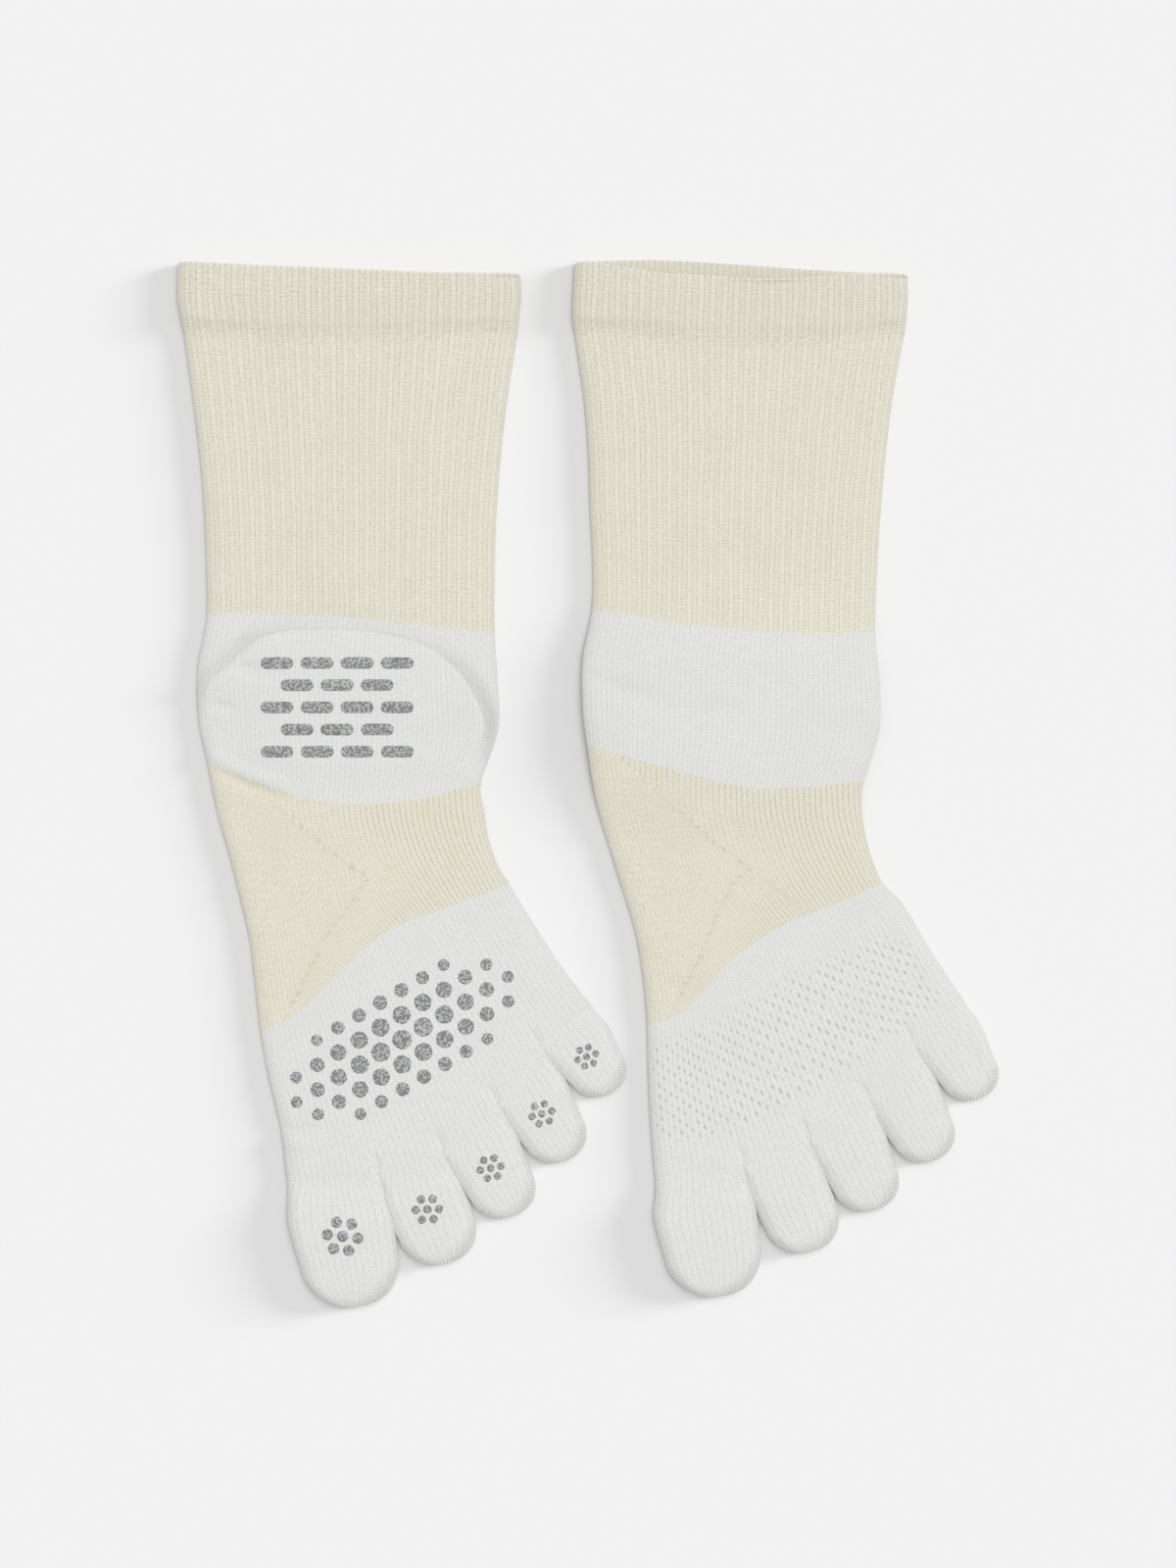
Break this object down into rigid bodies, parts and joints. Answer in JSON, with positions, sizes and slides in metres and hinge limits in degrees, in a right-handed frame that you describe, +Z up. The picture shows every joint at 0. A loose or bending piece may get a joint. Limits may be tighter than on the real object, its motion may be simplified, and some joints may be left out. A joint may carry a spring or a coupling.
{
  "type": "pair of toe socks",
  "caption": "Crew-length knitted toe socks with ribbed legs, folded cuffs and separate toe tubes, laid flat side by side, one sole side up and one instep up.",
  "frame": {"origin": "middle of the pair's outline, on the surface that it lies on", "axes": "+Z up from the surface, +Y along the socks towards the cuffs, +X across the pair from the sock that lies sole up to the one that lies instep up"},
  "size_m": [0.2342, 0.2984, 0.0073],
  "materials": {
    "cream_rib": "cream cotton knitted in 1x1 rib, soft and matt",
    "cream_knit": "cream cotton in plain knit, soft and matt",
    "white_knit": "off-white cotton in plain knit, with open mesh on the instep of the forefoot",
    "grip_rubber": "thin grey speckled rubber print, slightly raised"
  },
  "bodies": {
    "root": {"cuff_sole_up": "cream_rib", "leg_sole_up": "cream_rib", "ankle_sole_up": "white_knit", "heel_pocket_sole_up": "white_knit", "arch_sole_up": "cream_knit", "forefoot_sole_up": "white_knit", "toe_1_sole_up": "white_knit", "toe_2_sole_up": "white_knit", "toe_3_sole_up": "white_knit", "toe_4_sole_up": "white_knit", "toe_5_sole_up": "white_knit", "cuff_instep_up": "cream_rib", "leg_instep_up": "cream_rib", "ankle_instep_up": "white_knit", "heel_pocket_instep_up": "white_knit", "arch_instep_up": "cream_knit", "forefoot_instep_up": "white_knit", "toe_1_instep_up": "white_knit", "toe_2_instep_up": "white_knit", "toe_3_instep_up": "white_knit", "toe_4_instep_up": "white_knit", "toe_5_instep_up": "white_knit"}
  },
  "joints": []
}
